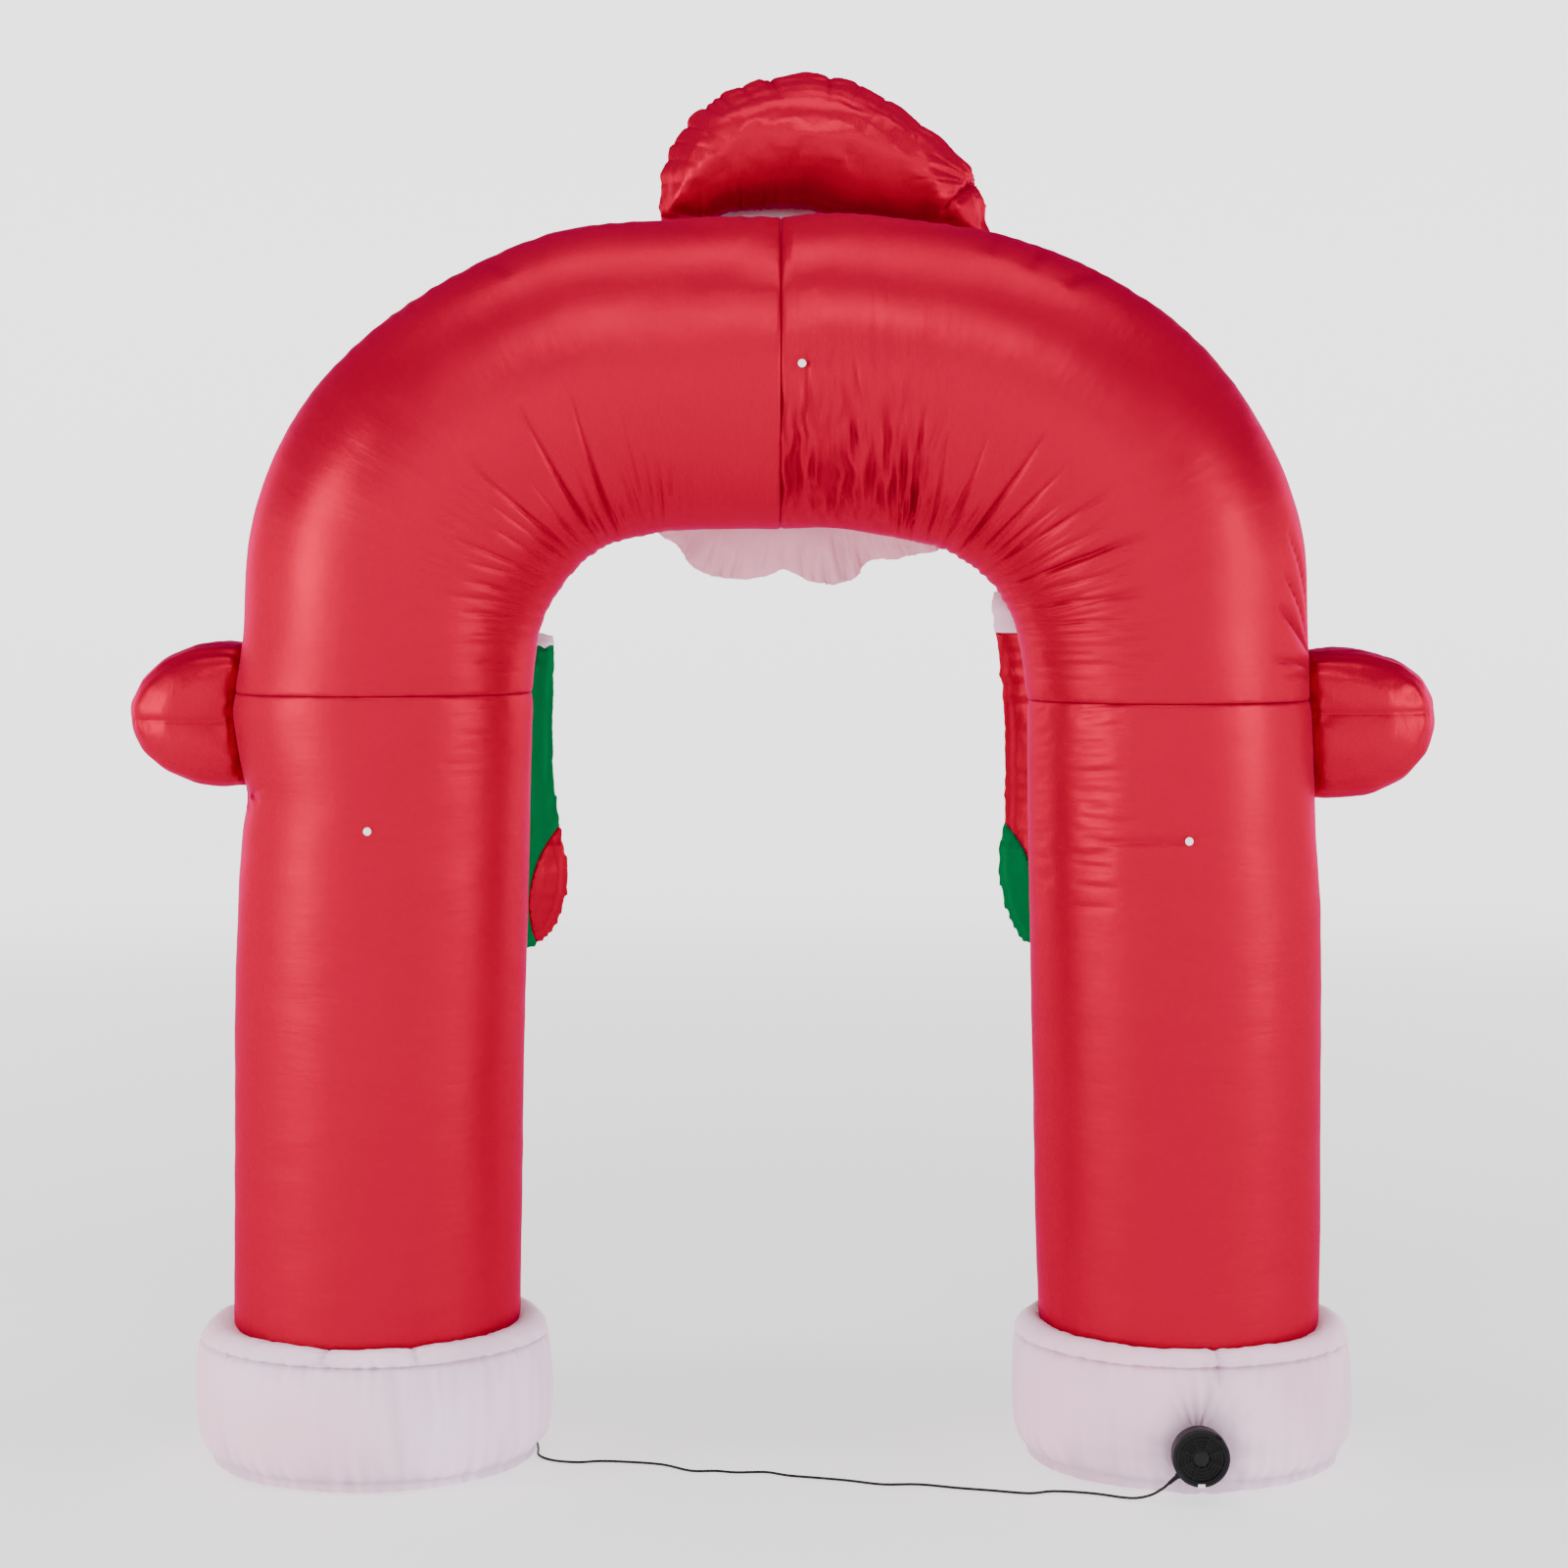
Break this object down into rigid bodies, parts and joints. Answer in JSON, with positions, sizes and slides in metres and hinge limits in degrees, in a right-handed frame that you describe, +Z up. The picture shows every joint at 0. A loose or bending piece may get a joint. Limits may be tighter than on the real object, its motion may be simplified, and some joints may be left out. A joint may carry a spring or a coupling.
{
  "type": "inflatable arch",
  "caption": "Blow-up walk-through arch in red cloth on white flattened bases, with cap, beard, stockings, arms and a blower.",
  "frame": {"origin": "middle of the arch's box, on the ground", "axes": "+Z up, +X to the right and +Y away when the blower's side is looked at"},
  "size_m": [2.5318, 0.7309, 2.676],
  "materials": {
    "red_cloth": "satin",
    "white_cloth": "satin",
    "cuff_cloth": "satin",
    "beard_cloth": "satin",
    "panel_cloth": "satin",
    "green_cloth": "satin",
    "blower_plastic": "fine grain",
    "label_film": "plain, blank",
    "button_plastic": "clear-white",
    "cord_rubber": "satin",
    "pin_metal": "nickel-plated"
  },
  "bodies": {
    "root": {"leg_left": "red_cloth", "leg_right": "red_cloth", "crown_left": "red_cloth", "crown_right": "red_cloth", "arm_left_upper": "red_cloth", "arm_left_lower": "red_cloth", "arm_right_upper": "red_cloth", "arm_right_lower": "red_cloth", "cap": "red_cloth", "base_left": "white_cloth", "base_right": "white_cloth", "cap_band": "white_cloth", "beard": "beard_cloth", "face_panel": "panel_cloth", "stocking_left_cuff": "white_cloth", "stocking_left_leg": "green_cloth", "stocking_left_heel": "red_cloth", "stocking_right_cuff": "cuff_cloth", "stocking_right_leg": "red_cloth", "stocking_right_heel": "green_cloth", "blower_housing": "blower_plastic", "blower_grille": "blower_plastic", "blower_label": "label_film", "button_left": "button_plastic", "button_right": "button_plastic", "button_middle": "button_plastic", "cord_relief": "cord_rubber", "cord": "cord_rubber", "cord_coil": "cord_rubber", "cord_tie": "cord_rubber", "plug_body": "cord_rubber", "plug_pin_a": "pin_metal", "plug_pin_b": "pin_metal"}
  },
  "joints": []
}
